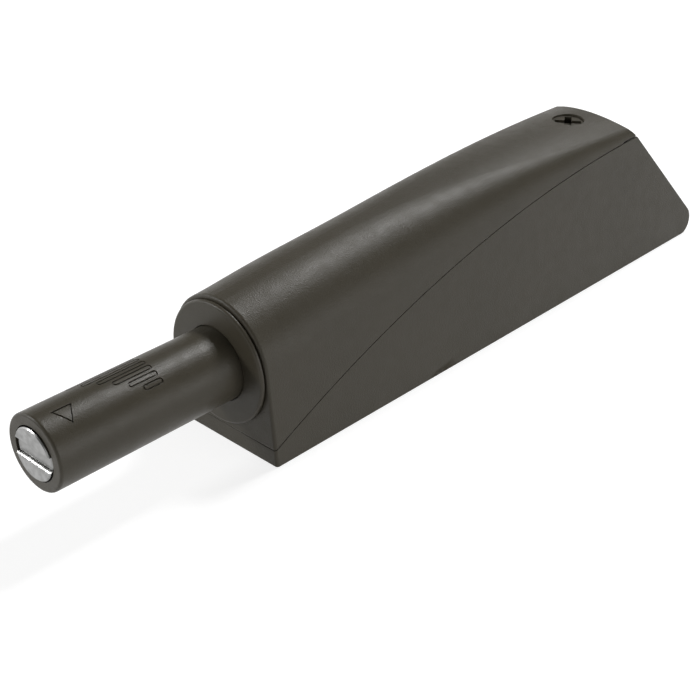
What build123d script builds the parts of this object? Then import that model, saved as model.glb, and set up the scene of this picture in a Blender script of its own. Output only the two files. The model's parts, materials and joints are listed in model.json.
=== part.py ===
"""Push to open catch: a sprung magnet plunger cartridge in a two-shell screw-on housing.

Frame: +Z up, +Y from the plunger's tip towards the tail, the mounting face at z = 0.
The origin is on the mounting face, midway between the two fixing holes.
A depth is a distance along +Y from the mouth, the flat front face of the housing.
A rise is a height above the plunger's axis.
"""
from build123d import *
from math import cos, pi, sqrt
import os

os.makedirs("parts", exist_ok=True)

# ---- Housing form --------------------------------------------------------------------
mouth_y = -30.0
half_width = 7.92  # at the mounting face
side_lean = 0.1046  # how far a side wall leans in for each mm of height
axis_z = 9.2  # plunger axis above the mounting face
crown_top = 18.72  # highest point of the back
crown_depth = 46.5  # where it lies
crown_sweep_r = 443.0  # lengthwise arc of the back
crown_r = 14.0  # crosswise arc of the back
tail_reach = 20.75  # from the lock screw to where the raked tail would meet the mounting face
tail_rake = 0.904  # how far the tail leans forward for each mm of height
tail_corner_r = 1.87
shoulder_front_r = 6.81
shoulder_tail_r = 1.4
shoulder_fade = (12.0, 70.0)  # depths between which the shoulder tightens
least_crown = 0.1
crown_onset = 0.1  # the least sine of the crown's half angle
least_shoulder_r = 0.2
section_count = 12
mouth_edge_r = 0.3

# ---- Shells --------------------------------------------------------------------------
wall = 1.3
floor_t = 2.2
mouth_wall = 2.0
tail_wall = 1.8
seam_depth = 66.37  # centre of the seam's arc in the side view
seam_z = -142.74
seam_r = 159.05
seam_line = 0.09  # shadow line round the seam
seam_line_inset = 0.4
pry_slot_depth = 60.1
pry_slot_gap = 0.22
rib_t = 1.4
rib_depths = (7.5, 21.0, 29.3, 38.5)
fixing_spacing = 32.0
fixing_hole_r = 2.0
fixing_sink_r = 3.6

# ---- Lock screw ----------------------------------------------------------------------
lock_setback = 2.4  # lock screw's axis behind the cartridge
lock_boss_length = 5.4
lock_head_r = 1.9
lock_head_t = 1.0
lock_head_sink = 0.35  # the head's top below the back's ridge
lock_shank_r = 1.25
lock_shank_length = 8.0
lock_point = 0.7
lock_fit = 0.03
cross_length = 3.2
cross_width = 0.85
cross_sink = 0.7
cross_turn = 35.0

# ---- Cartridge sleeve and end cap ----------------------------------------------------
sleeve_r = 5.0
sleeve_bore_r = 4.4
seat_fit = 0.03
slide_fit = 0.08
guide_length = 5.0
collar_r = 6.68
collar_t = 0.4
collar_gap = 0.2  # shadow line behind the collar
collar_edge_r = 0.3
neck_r = 6.2
neck_length = 0.5
neck_fit = 0.06
cap_length = 2.7
stop_gap = 0.3  # between the carrier, pushed right in, and the cap

# ---- Plunger -------------------------------------------------------------------------
tube_r = 4.0
tip_reach = 22.5  # how far the tip stands in front of the mouth
tube_tail = 3.8
tip_edge_r = 0.3
tip_bore_r = 2.85
thread_bore_r = 2.3
thread_front = -11.5
thread_back = -5.0
tip_fit = 0.03
plate_r = 2.72
plate_stand = 0.25  # how far the pole plates stand in front of the tip
plate_length = 6.7
plate_edge = 0.12
magnet_t = 1.54
magnet_r = 2.6
magnet_recess = 0.35  # the magnet's face behind the plates'
magnet_root = 2.0  # how deep the magnet sits in the holder's slot
magnet_edge = 0.1
slot_fit = 0.02
holder_tail = -12.3
mark_line = 0.15
mark_sink = 0.12
bar_width = 0.64
bar_back = -9.3
bar_front = -11.6  # front end of the shortest bar
bar_growth = 1.13  # how much longer each next bar is
bar_first_angle = 39.0
bar_pitch = 13.1
bar_count = 6
arrow_depth = -19.65
arrow_base = 2.3
arrow_height = 2.0
arrow_angles = (24.5, -53.0)

# ---- Carrier, turning ring and buffer --------------------------------------------------
buffer_t = 0.88
buffer_bore_r = 3.62
buffer_gap = 0.02
flange_t = 1.3
spindle_r = 2.2
spindle_front = -10.6
spindle_edge = 0.4
ring_flange_r = 3.3
ring_flange_t = 0.85
ring_gap = 0.1
ring_r = 2.87
ring_front = -2.4
key_width = 1.0
key_r = 3.3
key_back = 3.0
key_fit = 0.1
click_count = 12
click_width = 0.4
click_sink = 0.3
bar_half_width = 2.6
bar_below = 1.5
bar_above = 1.2
bar_length = 23.4
bar_edge_r = 0.4
travel = 21.0  # full push

# ---- Latch track and pin -----------------------------------------------------------------
wire_r = 0.35
latch_gap = 0.15
latch_lead = 1.1  # nose in front of the carrier's tail, plunger out
latch_bend_r = 0.6
lane_x = 1.2
lane_clearance = 0.14
track_sink = 0.8
track_tail = 0.4
track_front = 22.8
nose_gap = 0.1
heart_tail = 2.7
heart_shoulder = 4.2
heart_catch = 19.6
heart_notch = 0.8
pivot_inset = 1.3  # pivot behind the cap's face
pivot_drop = 1.7
pivot_fit = 0.07
swing_room = 0.2

# ---- Return spring -----------------------------------------------------------------------
spring_r = 3.75
spring_wire_r = 0.3
spring_turns = 13

# ---- Worked out from the sizes above ---------------------------------------------------
lean_n = sqrt(1 + side_lean**2)
far = 4 * half_width  # beyond the part on every side of the axis
flange_front = guide_length + buffer_gap + buffer_t
bar_start = flange_front + flange_t
bar_tail = bar_start + bar_length
cap_front = bar_tail + travel + stop_gap
sleeve_end = cap_front + cap_length
lock_depth = sleeve_end + lock_setback
tail_length = lock_depth + tail_reach
pivot_depth = cap_front + pivot_inset
nose_depth = bar_tail - latch_lead
arm_rise = bar_above + latch_gap + wire_r
lane_half = wire_r + lane_clearance
plate_front = -tip_reach - plate_stand
plate_back = plate_front + plate_length


def station(depth, height=axis_z):
    """Plane across the plunger's axis; it faces the tip, with +X right and +Z up."""
    return Plane(origin=(0, mouth_y + depth, height), x_dir=(1, 0, 0), z_dir=(0, -1, 0))


def side_view(height):
    """Lengthwise middle plane: local x is the depth, local y the rise above height."""
    return Plane(origin=(0, mouth_y, height), x_dir=(0, 1, 0), z_dir=(1, 0, 0))


def plan_view(height):
    """Level plane: local x is the depth, local y points to -X."""
    return Plane(origin=(0, mouth_y, height), x_dir=(0, 1, 0), z_dir=(0, 0, 1))


def tangent_plane(angle, radius):
    """Plane touching a cylinder on the plunger's axis, at an angle from +Z towards +X."""
    normal = Vector(0, 0, 1).rotate(Axis.Y, angle)
    centre = Vector(0, mouth_y, axis_z)
    return Plane(origin=centre + normal * radius, x_dir=(0, 1, 0), z_dir=normal)


plunger_axis = Axis((0, mouth_y, axis_z), (0, 1, 0))


def crown_height(depth):
    """Height of the back's ridge."""
    return crown_top - (depth - crown_depth) ** 2 / (2 * crown_sweep_r)


def shoulder_radius(depth):
    """Shoulder radius: nearly a full arch at the mouth, tight at the tail."""
    start, end = shoulder_fade
    share = min(max((depth - start) / (end - start), 0), 1)
    faded = shoulder_tail_r + (shoulder_front_r - shoulder_tail_r) * (1 + cos(pi * share)) / 2
    full_arch = (half_width - side_lean * crown_height(depth) - least_crown) / (lean_n - side_lean)
    return min(faded, full_arch)


def draw_section(depth, inset, bottom):
    """Section of the housing: leaning sides under a three-centred arch."""
    reach = half_width - inset * lean_n
    ridge = crown_height(depth) - inset
    shoulder = max(shoulder_radius(depth) - inset, least_shoulder_r)
    base = reach - lean_n * shoulder
    spread = base - side_lean * (ridge - shoulder)
    crown = min(crown_r - inset, shoulder + spread / crown_onset)
    hub = ridge - crown
    mix = base * side_lean + hub
    arm = crown - shoulder
    height = (mix + sqrt(mix**2 - lean_n**2 * (base**2 + hub**2 - arm**2))) / lean_n**2
    centre = Vector(base - side_lean * height, height)
    up = (centre - Vector(0, hub)).normalized()
    side = Vector(1, side_lean).normalized()
    top = Vector(0, hub) + up * crown
    middle = centre + (up + side).normalized() * shoulder
    low = centre + side * shoulder
    foot = Vector(reach - side_lean * bottom, bottom)
    with BuildLine() as outline:
        Line((-foot.X, foot.Y), foot)
        Line(foot, low)
        ThreePointArc(low, middle, top)
        ThreePointArc(top, (0, ridge), (-top.X, top.Y))
        ThreePointArc((-top.X, top.Y), (-middle.X, middle.Y), (-low.X, low.Y))
        Line((-low.X, low.Y), (-foot.X, foot.Y))
    make_face(outline.edges())


def draw_side_outline(front, tail_inset, bottom):
    """Side view of the housing: level below, open above, raked at the tail."""
    tail = tail_length - tail_inset * sqrt(1 + tail_rake**2)
    with BuildLine() as outline:
        Polyline(
            (front, bottom),
            (tail - tail_rake * bottom, bottom),
            (tail - tail_rake * far, far),
            (front, far),
            close=True,
        )
    make_face(outline.edges())


def draw_above_seam(lift):
    """Side view of all that lies higher than lift over the seam's arc."""
    radius = seam_r + lift
    front = -seam_line_inset
    with BuildLine() as outline:
        arc_ends = [
            (depth, seam_z + sqrt(radius**2 - (depth - seam_depth) ** 2))
            for depth in (front, tail_length)
        ]
        ThreePointArc(arc_ends[0], (seam_depth, seam_z + radius), arc_ends[1])
        Polyline(arc_ends[1], (tail_length, far), (front, far), arc_ends[0])
    make_face(outline.edges())


# ---- Housing form, cavity, core under the seam's line -----------------------------------
with BuildPart() as housing_form:
    for index in range(section_count + 1):
        with BuildSketch(station(index * tail_length / section_count, 0)):
            draw_section(index * tail_length / section_count, 0, -floor_t)
    loft()
    with BuildSketch(side_view(0)):
        draw_side_outline(0, 0, 0)
        fillet(vertices().sort_by(Axis.X)[-1], radius=tail_corner_r)
    extrude(amount=far, both=True, mode=Mode.INTERSECT)
    fillet(faces().sort_by(Axis.Y)[0].edges().sort_by(Axis.Z)[1:], radius=mouth_edge_r)

with BuildPart() as skin_core:
    for index in range(section_count + 1):
        with BuildSketch(station(index * tail_length / section_count, 0)):
            draw_section(index * tail_length / section_count, seam_line_inset, -floor_t)
    loft()
    with BuildSketch(side_view(0)):
        draw_side_outline(seam_line_inset, seam_line_inset, -floor_t)
    extrude(amount=far, both=True, mode=Mode.INTERSECT)

with BuildPart() as cavity:
    for index in range(section_count + 1):
        with BuildSketch(station(index * tail_length / section_count, 0)):
            draw_section(index * tail_length / section_count, wall, floor_t)
    loft()
    with BuildSketch(side_view(0)):
        draw_side_outline(mouth_wall, tail_wall, floor_t)
    extrude(amount=far, both=True, mode=Mode.INTERSECT)
    for depth in rib_depths:
        with BuildSketch(station(depth + rib_t)):
            Rectangle(far, far)
        extrude(amount=rib_t, mode=Mode.SUBTRACT)
    with BuildSketch(station(sleeve_end + seat_fit + lock_boss_length)):
        Rectangle(far, far)
    extrude(amount=lock_boss_length, mode=Mode.SUBTRACT)

with BuildPart() as cartridge_seat:
    with BuildSketch(side_view(axis_z)):
        with BuildLine():
            Polyline(
                (-far, 0),
                (-far, neck_r + neck_fit),
                (neck_length + seat_fit, neck_r + neck_fit),
                (neck_length + seat_fit, sleeve_r + seat_fit),
                (sleeve_end + seat_fit, sleeve_r + seat_fit),
                (sleeve_end + seat_fit, 0),
                close=True,
            )
        make_face()
    revolve(axis=plunger_axis)

with BuildPart() as upper_half:
    with BuildSketch(side_view(0)):
        draw_above_seam(0)
    extrude(amount=far, both=True)

with BuildPart() as seam_groove:
    add(upper_half.part)
    with BuildSketch(side_view(0)):
        draw_above_seam(seam_line)
    extrude(amount=far, both=True, mode=Mode.SUBTRACT)
    add(skin_core.part, mode=Mode.SUBTRACT)

with BuildPart() as pry_slot:
    add(upper_half.part)
    with BuildSketch(side_view(0)):
        draw_above_seam(pry_slot_gap)
    extrude(amount=far, both=True, mode=Mode.SUBTRACT)
    with BuildSketch(station(pry_slot_depth)):
        Rectangle(2 * far, 2 * far)
    extrude(amount=2 * tail_length, mode=Mode.SUBTRACT)

# ---- Shells --------------------------------------------------------------------------
lock_seat_z = crown_height(lock_depth) - lock_head_sink - lock_head_t
lock_place = (0, mouth_y + lock_depth)

with BuildPart() as base_shell:
    add(housing_form.part)
    add(cavity.part, mode=Mode.SUBTRACT)
    add(cartridge_seat.part, mode=Mode.SUBTRACT)
    add(upper_half.part, mode=Mode.SUBTRACT)
    with Locations((0, 0, floor_t)):
        with GridLocations(1, fixing_spacing, 1, 2):
            CounterSinkHole(fixing_hole_r, fixing_sink_r, counter_sink_angle=90)
    with Locations((*lock_place, lock_seat_z)):
        Hole(lock_shank_r + lock_fit, depth=lock_shank_length + lock_fit)
base_shell.part.label = "base_shell"
export_step(base_shell.part, "parts/base_shell.step")

with BuildPart() as top_cover:
    add(housing_form.part)
    add(cavity.part, mode=Mode.SUBTRACT)
    add(cartridge_seat.part, mode=Mode.SUBTRACT)
    add(upper_half.part, mode=Mode.INTERSECT)
    add(seam_groove.part, mode=Mode.SUBTRACT)
    add(pry_slot.part, mode=Mode.SUBTRACT)
    with Locations((*lock_place, lock_seat_z)):
        Hole(lock_shank_r + lock_fit, depth=far)
    with BuildSketch(Plane.XY.offset(lock_seat_z)):
        with Locations(lock_place):
            Circle(lock_head_r + lock_fit)
    extrude(amount=far, mode=Mode.SUBTRACT)
top_cover.part.label = "top_cover"
export_step(top_cover.part, "parts/top_cover.step")

with BuildPart() as lock_screw:
    with BuildSketch(Plane.XY.offset(lock_seat_z)):
        with Locations(lock_place):
            Circle(lock_head_r)
    extrude(amount=lock_head_t)
    with BuildSketch(Plane.XY.offset(lock_seat_z + lock_head_t)):
        with Locations(Location((*lock_place, 0), (0, 0, cross_turn))):
            Rectangle(cross_length, cross_width)
            Rectangle(cross_width, cross_length)
    extrude(amount=-cross_sink, mode=Mode.SUBTRACT)
    with BuildSketch(Plane.XY.offset(lock_seat_z)):
        with Locations(lock_place):
            Circle(lock_shank_r)
    extrude(amount=-lock_shank_length)
    chamfer(edges().sort_by(Axis.Z)[0], length=lock_point)
lock_screw.part.label = "lock_screw"
export_step(lock_screw.part, "parts/lock_screw.step")

# ---- Cartridge: sleeve, end cap --------------------------------------------------------
with BuildPart() as cartridge_sleeve:
    with BuildSketch(side_view(axis_z)):
        with BuildLine():
            Polyline(
                (-collar_gap - collar_t, tube_r + slide_fit),
                (-collar_gap - collar_t, collar_r),
                (-collar_gap, collar_r),
                (-collar_gap, neck_r),
                (neck_length, neck_r),
                (neck_length, sleeve_r),
                (sleeve_end, sleeve_r),
                (sleeve_end, sleeve_bore_r),
                (guide_length, sleeve_bore_r),
                (guide_length, tube_r + slide_fit),
                close=True,
            )
        make_face()
        fillet(vertices().sort_by(Axis.X)[:2].sort_by(Axis.Y)[-1], radius=collar_edge_r)
    revolve(axis=plunger_axis)
cartridge_sleeve.part.label = "cartridge_sleeve"
export_step(cartridge_sleeve.part, "parts/cartridge_sleeve.step")

with BuildPart() as end_cap:
    with BuildSketch(station(sleeve_end)):
        Circle(sleeve_bore_r)
    extrude(amount=cap_length)
    with BuildSketch(plan_view(axis_z + arm_rise - wire_r - nose_gap)):
        with Locations((cap_front, 0)):
            Rectangle(2 * pivot_inset, 2 * (wire_r + swing_room))
        with Locations((pivot_depth, 0)):
            Circle(wire_r + swing_room)
    extrude(amount=2 * wire_r + 2 * nose_gap, mode=Mode.SUBTRACT)
    with BuildSketch(plan_view(axis_z + arm_rise - pivot_drop - nose_gap)):
        with Locations((pivot_depth, 0)):
            Circle(wire_r + pivot_fit)
    extrude(amount=far, mode=Mode.SUBTRACT)
end_cap.part.label = "end_cap"
export_step(end_cap.part, "parts/end_cap.step")

# ---- Plunger tube with its turning arrows and graduated bars ----------------------------
with BuildPart() as marks:
    for index in range(bar_count):
        bar_long = bar_back - bar_front + index * bar_growth
        with BuildSketch(tangent_plane(bar_first_angle - index * bar_pitch, tube_r)):
            with Locations((bar_back - bar_long / 2, 0)):
                SlotOverall(bar_long, bar_width)
                SlotOverall(bar_long - 2 * mark_line, bar_width - 2 * mark_line, mode=Mode.SUBTRACT)
    for index, angle in enumerate(arrow_angles):
        point_side = 1 if index else -1
        with BuildSketch(tangent_plane(angle, tube_r)) as arrow:
            with BuildLine():
                Polyline(
                    (arrow_depth - arrow_base / 2, -point_side * arrow_height / 2),
                    (arrow_depth + arrow_base / 2, -point_side * arrow_height / 2),
                    (arrow_depth, point_side * arrow_height / 2),
                    close=True,
                )
            make_face()
            offset(amount=-mark_line, mode=Mode.SUBTRACT)
    extrude(amount=-tube_r / 2)
    with BuildSketch(station(0)):
        Circle(tube_r - mark_sink)
    extrude(amount=tip_reach, mode=Mode.SUBTRACT)

with BuildPart() as plunger_tube:
    with BuildSketch(side_view(axis_z)):
        with BuildLine():
            Polyline(
                (-tip_reach, tip_bore_r),
                (-tip_reach, tube_r),
                (tube_tail, tube_r),
                (tube_tail, ring_r + slide_fit),
                (thread_back, ring_r + slide_fit),
                (thread_back, thread_bore_r),
                (thread_front, thread_bore_r),
                (thread_front, tip_bore_r),
                close=True,
            )
        make_face()
        fillet(vertices().sort_by(Axis.X)[:2].sort_by(Axis.Y)[-1], radius=tip_edge_r)
    revolve(axis=plunger_axis)
    with BuildSketch(station(tube_tail)):
        Rectangle(2 * (key_r + key_fit), key_width + 2 * key_fit)
    extrude(amount=tube_tail - thread_back, mode=Mode.SUBTRACT)
    add(marks.part, mode=Mode.SUBTRACT)
plunger_tube.part.label = "plunger_tube"
export_step(plunger_tube.part, "parts/plunger_tube.step")

# ---- Tip: holder, magnet, pole plates ---------------------------------------------------
with BuildPart() as magnet_holder:
    with BuildSketch(side_view(axis_z)):
        with BuildLine():
            Polyline(
                (holder_tail, 0),
                (holder_tail, tip_bore_r - tip_fit),
                (plate_back, tip_bore_r - tip_fit),
                (plate_back, 0),
                close=True,
            )
        make_face()
    revolve(axis=plunger_axis)
    with BuildSketch(station(plate_back)):
        Rectangle(far, magnet_t + 2 * slot_fit)
    extrude(amount=-magnet_root, mode=Mode.SUBTRACT)
magnet_holder.part.label = "magnet_holder"
export_step(magnet_holder.part, "parts/magnet_holder.step")

with BuildPart() as magnet:
    with BuildSketch(station(plate_back + magnet_root)):
        Circle(magnet_r)
        Rectangle(far, magnet_t, mode=Mode.INTERSECT)
    extrude(amount=magnet_root + plate_length - magnet_recess)
    chamfer(faces().sort_by(Axis.Y)[0].edges(), length=magnet_edge)
magnet.part.label = "magnet"
export_step(magnet.part, "parts/magnet.step")

for name, side in (("pole_plate_upper", 1), ("pole_plate_lower", -1)):
    with BuildPart() as pole_plate:
        with BuildSketch(station(plate_back)):
            Circle(plate_r)
            with Locations((0, side * (magnet_t / 2 - far))):
                Rectangle(2 * far, 2 * far, mode=Mode.SUBTRACT)
        extrude(amount=plate_length)
        chamfer(faces().sort_by(Axis.Y)[0].edges(), length=plate_edge)
    pole_plate.part.label = name
    export_step(pole_plate.part, f"parts/{name}.step")

# ---- Carrier: spindle, flange, latch bar --------------------------------------------------
with BuildPart() as cam_carrier:
    with BuildSketch(side_view(axis_z)):
        with BuildLine():
            Polyline(
                (spindle_front, 0),
                (spindle_front, spindle_r - spindle_edge),
                (spindle_front + spindle_edge, spindle_r),
                (flange_front, spindle_r),
                (flange_front, sleeve_bore_r - slide_fit),
                (bar_start, sleeve_bore_r - slide_fit),
                (bar_start, 0),
                close=True,
            )
        make_face()
    revolve(axis=plunger_axis)
    with BuildSketch(station(bar_tail)):
        with Locations((0, (bar_above - bar_below) / 2)):
            RectangleRounded(2 * bar_half_width, bar_above + bar_below, bar_edge_r)
    extrude(amount=bar_length)
    with BuildSketch(plan_view(axis_z + bar_above - track_sink)):
        with Locations((bar_tail - (track_tail + track_front) / 2, 0)):
            RectangleRounded(track_front - track_tail, 2 * (lane_x + lane_half), lane_half)
        with BuildLine():
            Polyline(
                (bar_tail - heart_tail, 0),
                (bar_tail - heart_shoulder, lane_x - lane_half),
                (bar_tail - heart_catch, lane_x - lane_half),
                (bar_tail - heart_catch + heart_notch, 0),
                (bar_tail - heart_catch, lane_half - lane_x),
                (bar_tail - heart_shoulder, lane_half - lane_x),
                close=True,
            )
        make_face(mode=Mode.SUBTRACT)
    extrude(amount=far, mode=Mode.SUBTRACT)
cam_carrier.part.label = "cam_carrier"
export_step(cam_carrier.part, "parts/cam_carrier.step")

with BuildPart() as buffer_ring:
    with BuildSketch(station(flange_front)):
        Circle(sleeve_bore_r - slide_fit)
        Circle(buffer_bore_r, mode=Mode.SUBTRACT)
    extrude(amount=buffer_t)
buffer_ring.part.label = "buffer_ring"
export_step(buffer_ring.part, "parts/buffer_ring.step")

# ---- Turning ring: keyed to the tube, clicks against the carrier's flange -------------------
ring_back = flange_front - ring_gap
with BuildPart() as click_ring:
    with BuildSketch(station(ring_back)):
        Circle(ring_flange_r)
    extrude(amount=ring_flange_t)
    with BuildSketch(station(ring_back)):
        with PolarLocations(ring_flange_r, click_count):
            Rectangle(ring_flange_r / 2, click_width)
    extrude(amount=click_sink, mode=Mode.SUBTRACT)
    with BuildSketch(station(ring_back - ring_flange_t)):
        Circle(ring_r)
    extrude(amount=ring_back - ring_flange_t - ring_front)
    with BuildSketch(station(key_back)):
        Rectangle(2 * key_r, key_width)
    extrude(amount=key_back - ring_front)
    with BuildSketch(station(ring_back)):
        Circle(spindle_r + slide_fit)
    extrude(amount=ring_back - ring_front, mode=Mode.SUBTRACT)
click_ring.part.label = "click_ring"
export_step(click_ring.part, "parts/click_ring.step")

# ---- Latch pin: a bent wire that swings in the end cap and runs in the heart-shaped track ----
with BuildPart() as latch_pin:
    arm_z = axis_z + arm_rise
    nose_z = axis_z + bar_above - track_sink + nose_gap
    with BuildLine() as wire_path:
        FilletPolyline(
            (0, mouth_y + pivot_depth, arm_z - pivot_drop),
            (0, mouth_y + pivot_depth, arm_z),
            (-lane_x, mouth_y + nose_depth, arm_z),
            (-lane_x, mouth_y + nose_depth, nose_z),
            radius=latch_bend_r,
        )
    with BuildSketch(Plane.XY.offset(arm_z - pivot_drop)):
        with Locations((0, mouth_y + pivot_depth)):
            Circle(wire_r)
    sweep(path=wire_path.wires()[0])
latch_pin.part.label = "latch_pin"
export_step(latch_pin.part, "parts/latch_pin.step")

# ---- Return spring ------------------------------------------------------------------------
with BuildPart() as return_spring:
    spring_length = cap_front - bar_start - 2 * spring_wire_r
    with BuildLine() as coil:
        Helix(
            pitch=spring_length / spring_turns,
            height=spring_length,
            radius=spring_r,
            center=(0, mouth_y + bar_start + spring_wire_r, axis_z),
            direction=(0, 1, 0),
        )
    with BuildSketch(Plane(origin=coil.line @ 0, z_dir=coil.line % 0)):
        Circle(spring_wire_r)
    sweep(path=coil.wires()[0], is_frenet=True)
return_spring.part.label = "return_spring"
export_step(return_spring.part, "parts/return_spring.step")
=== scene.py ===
"""Looks of the push to open catch: its finishes, and the studio round it.

Every length is in metres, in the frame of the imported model: +Z up from the mounting face, +Y from
the plunger's tip towards the tail.
"""
import json
import logging
import math
from dataclasses import dataclass, field
from enum import Enum

import bpy
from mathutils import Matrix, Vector

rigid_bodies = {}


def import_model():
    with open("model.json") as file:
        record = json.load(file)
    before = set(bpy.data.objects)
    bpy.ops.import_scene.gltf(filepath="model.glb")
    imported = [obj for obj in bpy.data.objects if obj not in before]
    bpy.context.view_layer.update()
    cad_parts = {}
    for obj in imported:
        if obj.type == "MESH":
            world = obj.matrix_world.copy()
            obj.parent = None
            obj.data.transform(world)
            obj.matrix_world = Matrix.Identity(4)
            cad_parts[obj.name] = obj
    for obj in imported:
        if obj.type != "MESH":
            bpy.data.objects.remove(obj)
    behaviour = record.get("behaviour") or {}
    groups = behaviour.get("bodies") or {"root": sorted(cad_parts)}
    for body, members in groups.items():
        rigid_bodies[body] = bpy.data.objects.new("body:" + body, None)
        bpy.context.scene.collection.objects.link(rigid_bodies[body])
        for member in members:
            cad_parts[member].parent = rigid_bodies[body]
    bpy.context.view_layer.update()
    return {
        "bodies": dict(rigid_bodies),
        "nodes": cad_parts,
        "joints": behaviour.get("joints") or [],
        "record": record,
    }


LOG = logging.getLogger("push_catch")

Color = tuple[float, float, float]
Point = tuple[float, float, float]
Span = tuple[float, float]

UNIT: Span = (0.0, 1.0)
WHITE = (1.0, 1.0, 1.0, 1.0)
SHELL_DARK: Color = (0.049, 0.043, 0.03)
SHELL_LIGHT: Color = (0.055, 0.048, 0.034)


class Lay(Enum):
    """Which way the lines of a metal run, as the squeeze of their pattern along each axis."""

    ACROSS = (1.0, 12.0, 12.0)
    EVEN = (1.0, 1.0, 1.0)


class Sheet:
    """A node tree that is being filled in."""

    def __init__(self, tree: bpy.types.NodeTree) -> None:
        """Takes the tree.

        Args:
            tree: The tree of a group, a material or a world.
        """
        self.tree = tree

    def add(self, kind: str, **values: object) -> bpy.types.Node:
        """Adds a node.

        Args:
            kind: The node's type name without its ShaderNode prefix.
            values: What it is set to. A name with a capital letter is an input's, with _ for a
                blank; any other is an attribute's.

        Returns:
            The node.
        """
        made = self.tree.nodes.new("ShaderNode" + kind)
        for name, value in values.items():
            if name[0].isupper():
                made.inputs[name.replace("_", " ")].default_value = value
            else:
                setattr(made, name, value)
        return made

    def join(self, source: bpy.types.NodeSocket, target: bpy.types.NodeSocket) -> None:
        """Links an output to an input.

        Args:
            source: The output.
            target: The input.
        """
        self.tree.links.new(source, target)

    def remap(
        self, source: bpy.types.NodeSocket, before: Span = UNIT, after: Span = UNIT
    ) -> bpy.types.NodeSocket:
        """Maps a value from one span to another.

        Args:
            source: The value.
            before: The span that it has.
            after: The span that it gets.

        Returns:
            The new value's socket.
        """
        step = self.add(
            "MapRange", From_Min=before[0], From_Max=before[1], To_Min=after[0], To_Max=after[1]
        )
        self.join(source, step.inputs["Value"])
        return step.outputs["Result"]

    def tint(self, share: bpy.types.NodeSocket, dark: Color, light: Color) -> bpy.types.NodeSocket:
        """Mixes two colours by a share that changes over the surface.

        A Mix node keeps sockets for each kind of data; 6, 7 and 2 are those of the colours.

        Args:
            share: 0 for dark, 1 for light.
            dark: The first colour.
            light: The second colour.

        Returns:
            The colour's socket.
        """
        mix = self.add("Mix", data_type="RGBA")
        mix.inputs[6].default_value = (*dark, 1.0)
        mix.inputs[7].default_value = (*light, 1.0)
        self.join(share, mix.inputs["Factor"])
        return mix.outputs[2]


class Group(Sheet):
    """A shared shader node group with named inputs and outputs."""

    def __init__(
        self, name: str, inputs: dict[str, tuple[str, object]], outputs: tuple[str, ...]
    ) -> None:
        """Makes an empty group.

        Args:
            name: The group's name.
            inputs: Input names with their kind of socket and value.
            outputs: Names of the outputs, all of them values.
        """
        super().__init__(bpy.data.node_groups.new(name, "ShaderNodeTree"))
        for label, (kind, value) in inputs.items():
            socket = self.tree.interface.new_socket(
                label, in_out="INPUT", socket_type="NodeSocket" + kind
            )
            socket.default_value = value
        for label in outputs:
            self.tree.interface.new_socket(label, in_out="OUTPUT", socket_type="NodeSocketFloat")
        self.given = self.tree.nodes.new("NodeGroupInput").outputs
        self.put = self.tree.nodes.new("NodeGroupOutput").inputs

    def noise(
        self,
        place: bpy.types.NodeSocket,
        detail: float,
        scale: float = 0.0,
        scale_from: bpy.types.NodeSocket | None = None,
    ) -> bpy.types.NodeSocket:
        """Adds a noise.

        Args:
            place: Where it is read.
            detail: How many finer octaves it has.
            scale: How many cells it has in a metre.
            scale_from: An output that gives the scale instead.

        Returns:
            The noise's value.
        """
        made = self.add("TexNoise", Detail=detail, Scale=scale)
        self.join(place, made.inputs["Vector"])
        if scale_from:
            self.join(scale_from, made.inputs["Scale"])
        return made.outputs["Fac"]


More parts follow.
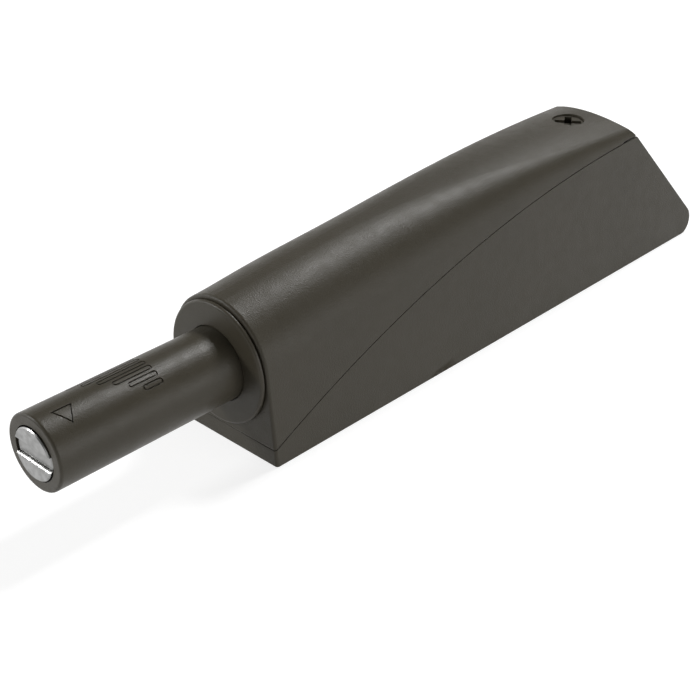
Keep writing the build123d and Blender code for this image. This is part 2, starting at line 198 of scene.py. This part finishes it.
class Effects:
    """The effects that several finishes share, each built once."""

    FLECK_SPAN: Span = (0.4, 0.66)
    MOTTLE_SPAN: Span = (0.35, 0.65)
    CLOUD_SPAN: Span = (0.3, 0.7)
    RUBBED_SPAN: Span = (0.35, 0.65)
    MOTTLE_SCALE = 1400.0
    RUBBED_SCALE = 700.0

    def __init__(self) -> None:
        """Builds the groups."""
        self.grain = self.build_grain()
        self.lines = self.build_lines()
        self.handling = self.build_handling()

    @staticmethod
    def build_grain() -> bpy.types.NodeTree:
        """Builds the grain of a spark-eroded mould: fine pits, and flecks that glint between them.

        Returns:
            The group's tree.
        """
        group = Group(
            "moulded_grain",
            {"Scale": ("Float", 8000.0), "Pits": ("Float", 0.5)},
            ("Height", "Flecks"),
        )
        place = group.add("TexCoord").outputs["Object"]
        fine = group.noise(place, detail=1.5, scale_from=group.given["Scale"])
        pits = group.add("TexVoronoi", feature="SMOOTH_F1")
        group.join(place, pits.inputs["Vector"])
        group.join(group.given["Scale"], pits.inputs["Scale"])
        mix = group.add("Mix", data_type="FLOAT")
        group.join(group.given["Pits"], mix.inputs["Factor"])
        group.join(fine, mix.inputs["A"])
        group.join(pits.outputs["Distance"], mix.inputs["B"])
        group.join(mix.outputs["Result"], group.put["Height"])
        group.join(group.remap(fine, Effects.FLECK_SPAN), group.put["Flecks"])
        return group.tree

    @staticmethod
    def build_lines() -> bpy.types.NodeTree:
        """Builds the lines that grinding or drawing leaves on metal, and a mottle under them.

        Returns:
            The group's tree.
        """
        group = Group(
            "metal_lines",
            {"Scale": ("Float", 1500.0), "Stretch": ("Vector", Lay.ACROSS.value)},
            ("Height", "Mottle"),
        )
        place = group.add("TexCoord").outputs["Object"]
        stretch = group.add("VectorMath", operation="MULTIPLY")
        group.join(place, stretch.inputs[0])
        group.join(group.given["Stretch"], stretch.inputs[1])
        lines = group.noise(stretch.outputs["Vector"], detail=3.0, scale_from=group.given["Scale"])
        mottle = group.noise(place, detail=4.0, scale=Effects.MOTTLE_SCALE)
        group.join(lines, group.put["Height"])
        group.join(group.remap(mottle, Effects.MOTTLE_SPAN), group.put["Mottle"])
        return group.tree

    @staticmethod
    def build_handling() -> bpy.types.NodeTree:
        """Builds the broad, faint unevenness that moulding and handling leave on a surface.

        Returns:
            The group's tree.
        """
        group = Group("handling", {"Scale": ("Float", 90.0)}, ("Cloud", "Rubbed"))
        place = group.add("TexCoord").outputs["Object"]
        cloud = group.noise(place, detail=3.0, scale_from=group.given["Scale"])
        finer = group.noise(place, detail=2.0, scale=Effects.RUBBED_SCALE)
        group.join(group.remap(cloud, Effects.CLOUD_SPAN), group.put["Cloud"])
        group.join(group.remap(finer, Effects.RUBBED_SPAN), group.put["Rubbed"])
        return group.tree


def new_material(name: str) -> tuple[bpy.types.Material, Sheet, bpy.types.Node]:
    """Makes a material with only its shader.

    Args:
        name: The material's name.

    Returns:
        The material, its sheet and its Principled shader.
    """
    made = bpy.data.materials.new(name)
    made.use_nodes = True
    return made, Sheet(made.node_tree), made.node_tree.nodes["Principled BSDF"]


@dataclass(frozen=True)
class MouldedPlastic:
    """Plastic out of a grained mould.

    Attributes:
        name: The material's name.
        dark: Its darkest colour.
        light: Its lightest colour.
        roughness: The least and the most of it.
        grain_scale: Grains in a metre.
        grain_depth: How deep the grain is.
        specular: How strongly it reflects.
        edge: How far its edges are rounded in the shading.
        fleck_share: How much of the gloss the flecks set; handling sets the rest.
        edge_samples: Rays that find a rounded edge.
    """

    name: str
    dark: Color
    light: Color
    roughness: Span = (0.38, 0.5)
    grain_scale: float = 8000.0
    grain_depth: float = 0.00004
    specular: float = 0.27
    edge: float = 0.00012
    fleck_share: float = 0.5
    edge_samples: int = 6

    def material(self, effects: Effects) -> bpy.types.Material:
        """Makes the material.

        Args:
            effects: The shared groups.

        Returns:
            The material.
        """
        made, sheet, surface = new_material(self.name)
        surface.inputs["Specular IOR Level"].default_value = self.specular
        grain = sheet.add("Group", node_tree=effects.grain)
        grain.inputs["Scale"].default_value = self.grain_scale
        handling = sheet.add("Group", node_tree=effects.handling)
        color = sheet.tint(handling.outputs["Cloud"], self.dark, self.light)
        sheet.join(color, surface.inputs["Base Color"])
        smooth, rough = self.roughness
        rubbed = sheet.remap(handling.outputs["Rubbed"], after=(0.0, 1.0 - self.fleck_share))
        polish = sheet.add("Math", operation="MULTIPLY_ADD")
        polish.inputs[1].default_value = self.fleck_share
        sheet.join(grain.outputs["Flecks"], polish.inputs[0])
        sheet.join(rubbed, polish.inputs[2])
        gloss = sheet.remap(polish.outputs["Value"], after=(rough, smooth))
        sheet.join(gloss, surface.inputs["Roughness"])
        rounded = sheet.add("Bevel", samples=self.edge_samples, Radius=self.edge)
        bump = sheet.add("Bump", Distance=self.grain_depth)
        sheet.join(rounded.outputs["Normal"], bump.inputs["Normal"])
        sheet.join(grain.outputs["Height"], bump.inputs["Height"])
        sheet.join(bump.outputs["Normal"], surface.inputs["Normal"])
        return made


@dataclass(frozen=True)
class Metal:
    """Ground, plated or drawn metal.

    Attributes:
        name: The material's name.
        dark: Its darkest colour.
        light: Its lightest colour.
        roughness: The least and the most of it.
        lay: Which way its lines run.
        line_scale: Lines in a metre.
        line_depth: How deep the lines are.
    """

    name: str
    dark: Color
    light: Color
    roughness: Span = (0.28, 0.42)
    lay: Lay = Lay.ACROSS
    line_scale: float = 1500.0
    line_depth: float = 0.000004

    def material(self, effects: Effects) -> bpy.types.Material:
        """Makes the material.

        Args:
            effects: The shared groups.

        Returns:
            The material.
        """
        made, sheet, surface = new_material(self.name)
        surface.inputs["Metallic"].default_value = 1.0
        lines = sheet.add("Group", node_tree=effects.lines)
        lines.inputs["Scale"].default_value = self.line_scale
        lines.inputs["Stretch"].default_value = self.lay.value
        color = sheet.tint(lines.outputs["Mottle"], self.dark, self.light)
        sheet.join(color, surface.inputs["Base Color"])
        smooth, rough = self.roughness
        gloss = sheet.remap(lines.outputs["Mottle"], after=(rough, smooth))
        sheet.join(gloss, surface.inputs["Roughness"])
        bump = sheet.add("Bump", Distance=self.line_depth)
        sheet.join(lines.outputs["Height"], bump.inputs["Height"])
        sheet.join(bump.outputs["Normal"], surface.inputs["Normal"])
        return made


Finish = MouldedPlastic | Metal

NATURAL_PLASTIC = MouldedPlastic(
    "natural_plastic",
    (0.42, 0.41, 0.37),
    (0.5, 0.49, 0.45),
    roughness=(0.3, 0.4),
    grain_depth=0.000003,
)
SPRING_STEEL = Metal("spring_steel", (0.34, 0.34, 0.35), (0.5, 0.5, 0.5), lay=Lay.EVEN)


@dataclass
class SubAssembly:
    """Pieces of the catch that go together, each with its finish."""

    title: str
    finishes: dict[str, Finish] = field(default_factory=dict)

    def dress(self, frame: dict, made: dict[str, bpy.types.Material], effects: Effects) -> None:
        """Gives each piece its finish.

        Args:
            frame: The loaded model.
            made: Materials made so far, by name; new ones are added.
            effects: The shared groups.
        """
        for node, finish in self.finishes.items():
            if finish.name not in made:
                made[finish.name] = finish.material(effects)
            slots = frame["nodes"][node].data.materials
            slots.clear()
            slots.append(made[finish.name])
            LOG.info("%s: %s in %s", self.title, node, finish.name)


@dataclass
class Housing(SubAssembly):
    """The two shells and the screw that locks them."""

    title: str = "housing"
    shell: MouldedPlastic = MouldedPlastic("housing_plastic", SHELL_DARK, SHELL_LIGHT)

    def __post_init__(self) -> None:
        """Puts the grained plastic on every piece."""
        self.finishes = {node: self.shell for node in ("base_shell", "top_cover", "lock_screw")}


@dataclass
class Cartridge(SubAssembly):
    """The sleeve, its cap and the return spring."""

    title: str = "cartridge"
    sleeve: MouldedPlastic = MouldedPlastic(
        "sleeve_plastic",
        SHELL_DARK,
        SHELL_LIGHT,
        roughness=(0.36, 0.46),
        grain_depth=0.000006,
    )
    inner: MouldedPlastic = NATURAL_PLASTIC
    wire: Metal = SPRING_STEEL

    def __post_init__(self) -> None:
        """Sets each piece's finish."""
        self.finishes = {
            "cartridge_sleeve": self.sleeve,
            "end_cap": self.inner,
            "return_spring": self.wire,
        }


@dataclass
class Plunger(SubAssembly):
    """The tube with the magnet tip."""

    title: str = "plunger"
    tube: MouldedPlastic = MouldedPlastic(
        "tube_plastic",
        SHELL_DARK,
        SHELL_LIGHT,
        roughness=(0.34, 0.46),
        grain_depth=0.000025,
        edge=0.00006,
    )
    holder: MouldedPlastic = MouldedPlastic(
        "holder_plastic", (0.014, 0.014, 0.013), (0.018, 0.018, 0.017), grain_depth=0.000004
    )
    pole: Metal = Metal("pole_steel", (0.25, 0.25, 0.245), (0.33, 0.33, 0.325))
    magnet: Metal = Metal(
        "magnet_plating", (0.25, 0.25, 0.245), (0.31, 0.31, 0.305), roughness=(0.3, 0.42)
    )

    def __post_init__(self) -> None:
        """Sets each piece's finish."""
        self.finishes = {
            "plunger_tube": self.tube,
            "magnet_holder": self.holder,
            "magnet": self.magnet,
            "pole_plate_upper": self.pole,
            "pole_plate_lower": self.pole,
        }


@dataclass
class LatchWork(SubAssembly):
    """The carrier, the ring that turns the plunger, the buffer and the latch pin."""

    title: str = "latch work"
    inner: MouldedPlastic = NATURAL_PLASTIC
    rubber: MouldedPlastic = MouldedPlastic(
        "buffer_rubber",
        (0.018, 0.018, 0.018),
        (0.03, 0.03, 0.03),
        roughness=(0.6, 0.75),
        specular=0.3,
    )
    wire: Metal = SPRING_STEEL

    def __post_init__(self) -> None:
        """Sets each piece's finish."""
        self.finishes = {
            "cam_carrier": self.inner,
            "click_ring": self.inner,
            "buffer_ring": self.rubber,
            "latch_pin": self.wire,
        }


@dataclass(frozen=True)
class Lamp:
    """A square soft lamp that faces the catch.

    Attributes:
        name: Its name.
        towards: The direction from the catch to it.
        away: How far off it hangs.
        size: The length of its side.
        watts: Its power.
    """

    name: str
    towards: Point
    away: float
    size: float
    watts: float

    def place(self, target: Point) -> None:
        """Hangs the lamp.

        Args:
            target: What it faces.
        """
        light = bpy.data.lights.new(self.name, "AREA")
        light.size = self.size
        light.energy = self.watts
        stand = bpy.data.objects.new(self.name, light)
        direction = Vector(self.towards).normalized()
        stand.location = Vector(target) + direction * self.away
        stand.rotation_euler = direction.to_track_quat("Z", "Y").to_euler()
        bpy.context.scene.collection.objects.link(stand)


@dataclass
class Studio:
    """Camera, white floor, light tent and lamps.

    Attributes:
        lens_mm: The camera's focal length.
        sensor_mm: The width of its sensor.
        azimuth: Which way it looks round +Z, in degrees.
        elevation: How far it looks down, in degrees.
        camera_place: Where it stands.
        camera_near: The nearest that it sees.
        target: What the lamps face.
        wall_level: How bright the tent's walls are.
        roof_level: How bright its roof is.
        roof_from: Heights between which the walls fade into the roof; 1 is straight up.
        floor_half: Half the floor's side.
        floor_drop: How far it lies below the catch.
        floor_glow: How bright it looks where it is lit by nothing.
        floor_color: How much light it throws back.
        floor_roughness: Its roughness.
        lamps: The lamps.
    """

    lens_mm: float = 74.34
    sensor_mm: float = 36.0
    azimuth: float = 43.743
    elevation: float = 30.681
    camera_place: Point = (0.094998, -0.110489, 0.083942)
    camera_near: float = 0.005
    target: Point = (0.0, 0.0, 0.009)
    wall_level: float = 1.0
    roof_level: float = 0.05
    roof_from: Span = (0.14, 0.36)
    floor_half: float = 3.0
    floor_drop: float = 0.00005
    floor_glow: float = 0.78
    floor_color: Color = (0.4, 0.4, 0.4)
    floor_roughness: float = 0.9
    lamps: tuple[Lamp, ...] = (
        Lamp("shoulder_lamp", (-0.08, 0.56, 0.82), 0.6, 0.16, 2.6),
        Lamp("right_lamp", (1.0, 0.25, 0.1), 0.6, 0.4, 1.6),
        Lamp("front_lamp", (-0.6, -0.65, 0.42), 0.6, 0.12, 1.5),
        Lamp("left_lamp", (-1.0, -0.1, 0.12), 0.7, 0.6, 1.0),
    )

    def build(self) -> None:
        """Sets up the whole studio."""
        self.set_camera()
        self.set_world()
        self.lay_floor()
        for lamp in self.lamps:
            lamp.place(self.target)
            LOG.info("studio: %s", lamp.name)
        bpy.context.scene.view_settings.view_transform = "Standard"

    def set_camera(self) -> None:
        """Sets up the camera."""
        lens = bpy.data.cameras.new("camera")
        lens.lens = self.lens_mm
        lens.sensor_width = self.sensor_mm
        lens.clip_start = self.camera_near
        stand = bpy.data.objects.new("camera", lens)
        stand.location = self.camera_place
        tilt = math.radians(90.0 - self.elevation)
        stand.rotation_euler = (tilt, 0.0, math.radians(self.azimuth))
        bpy.context.scene.collection.objects.link(stand)
        bpy.context.scene.camera = stand

    def set_world(self) -> None:
        """Makes a light tent: white walls round the horizon under a dim roof."""
        world = bpy.data.worlds.new("tent")
        bpy.context.scene.world = world
        world.use_nodes = True
        sheet = Sheet(world.node_tree)
        split = sheet.add("SeparateXYZ")
        sheet.join(sheet.add("TexCoord").outputs["Generated"], split.inputs["Vector"])
        fade = sheet.add(
            "MapRange",
            interpolation_type="SMOOTHSTEP",
            From_Min=self.roof_from[0],
            From_Max=self.roof_from[1],
            To_Min=self.wall_level,
            To_Max=self.roof_level,
        )
        sheet.join(split.outputs["Z"], fade.inputs["Value"])
        light = world.node_tree.nodes["Background"]
        light.inputs["Color"].default_value = WHITE
        sheet.join(fade.outputs["Result"], light.inputs["Strength"])

    def lay_floor(self) -> None:
        """Lays a floor that looks white, in reflections too, and keeps the catch's shadow."""
        half = self.floor_half
        corners = [(-half, -half, 0.0), (half, -half, 0.0), (half, half, 0.0), (-half, half, 0.0)]
        mesh = bpy.data.meshes.new("floor")
        mesh.from_pydata(corners, [], [(0, 1, 2, 3)])
        floor = bpy.data.objects.new("floor", mesh)
        floor.location.z = -self.floor_drop
        bpy.context.scene.collection.objects.link(floor)
        paint, sheet, surface = new_material("floor_paint")
        surface.inputs["Base Color"].default_value = (*self.floor_color, 1.0)
        surface.inputs["Roughness"].default_value = self.floor_roughness
        surface.inputs["Specular IOR Level"].default_value = 0.0
        surface.inputs["Emission Color"].default_value = WHITE
        path = sheet.add("LightPath")
        seen = path.outputs["Is Camera Ray"]
        for ray in ("Is Glossy Ray", "Is Transmission Ray"):
            either = sheet.add("Math", operation="MAXIMUM")
            sheet.join(seen, either.inputs[0])
            sheet.join(path.outputs[ray], either.inputs[1])
            seen = either.outputs["Value"]
        glow = sheet.remap(seen, after=(0.0, self.floor_glow))
        sheet.join(glow, surface.inputs["Emission Strength"])
        mesh.materials.append(paint)


def main() -> None:
    """Dresses the catch and sets up the studio."""
    logging.basicConfig(level=logging.INFO)
    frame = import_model()
    effects = Effects()
    made: dict[str, bpy.types.Material] = {}
    for part in (Housing(), Cartridge(), Plunger(), LatchWork()):
        part.dress(frame, made, effects)
    Studio().build()


if __name__ == "__main__":
    main()
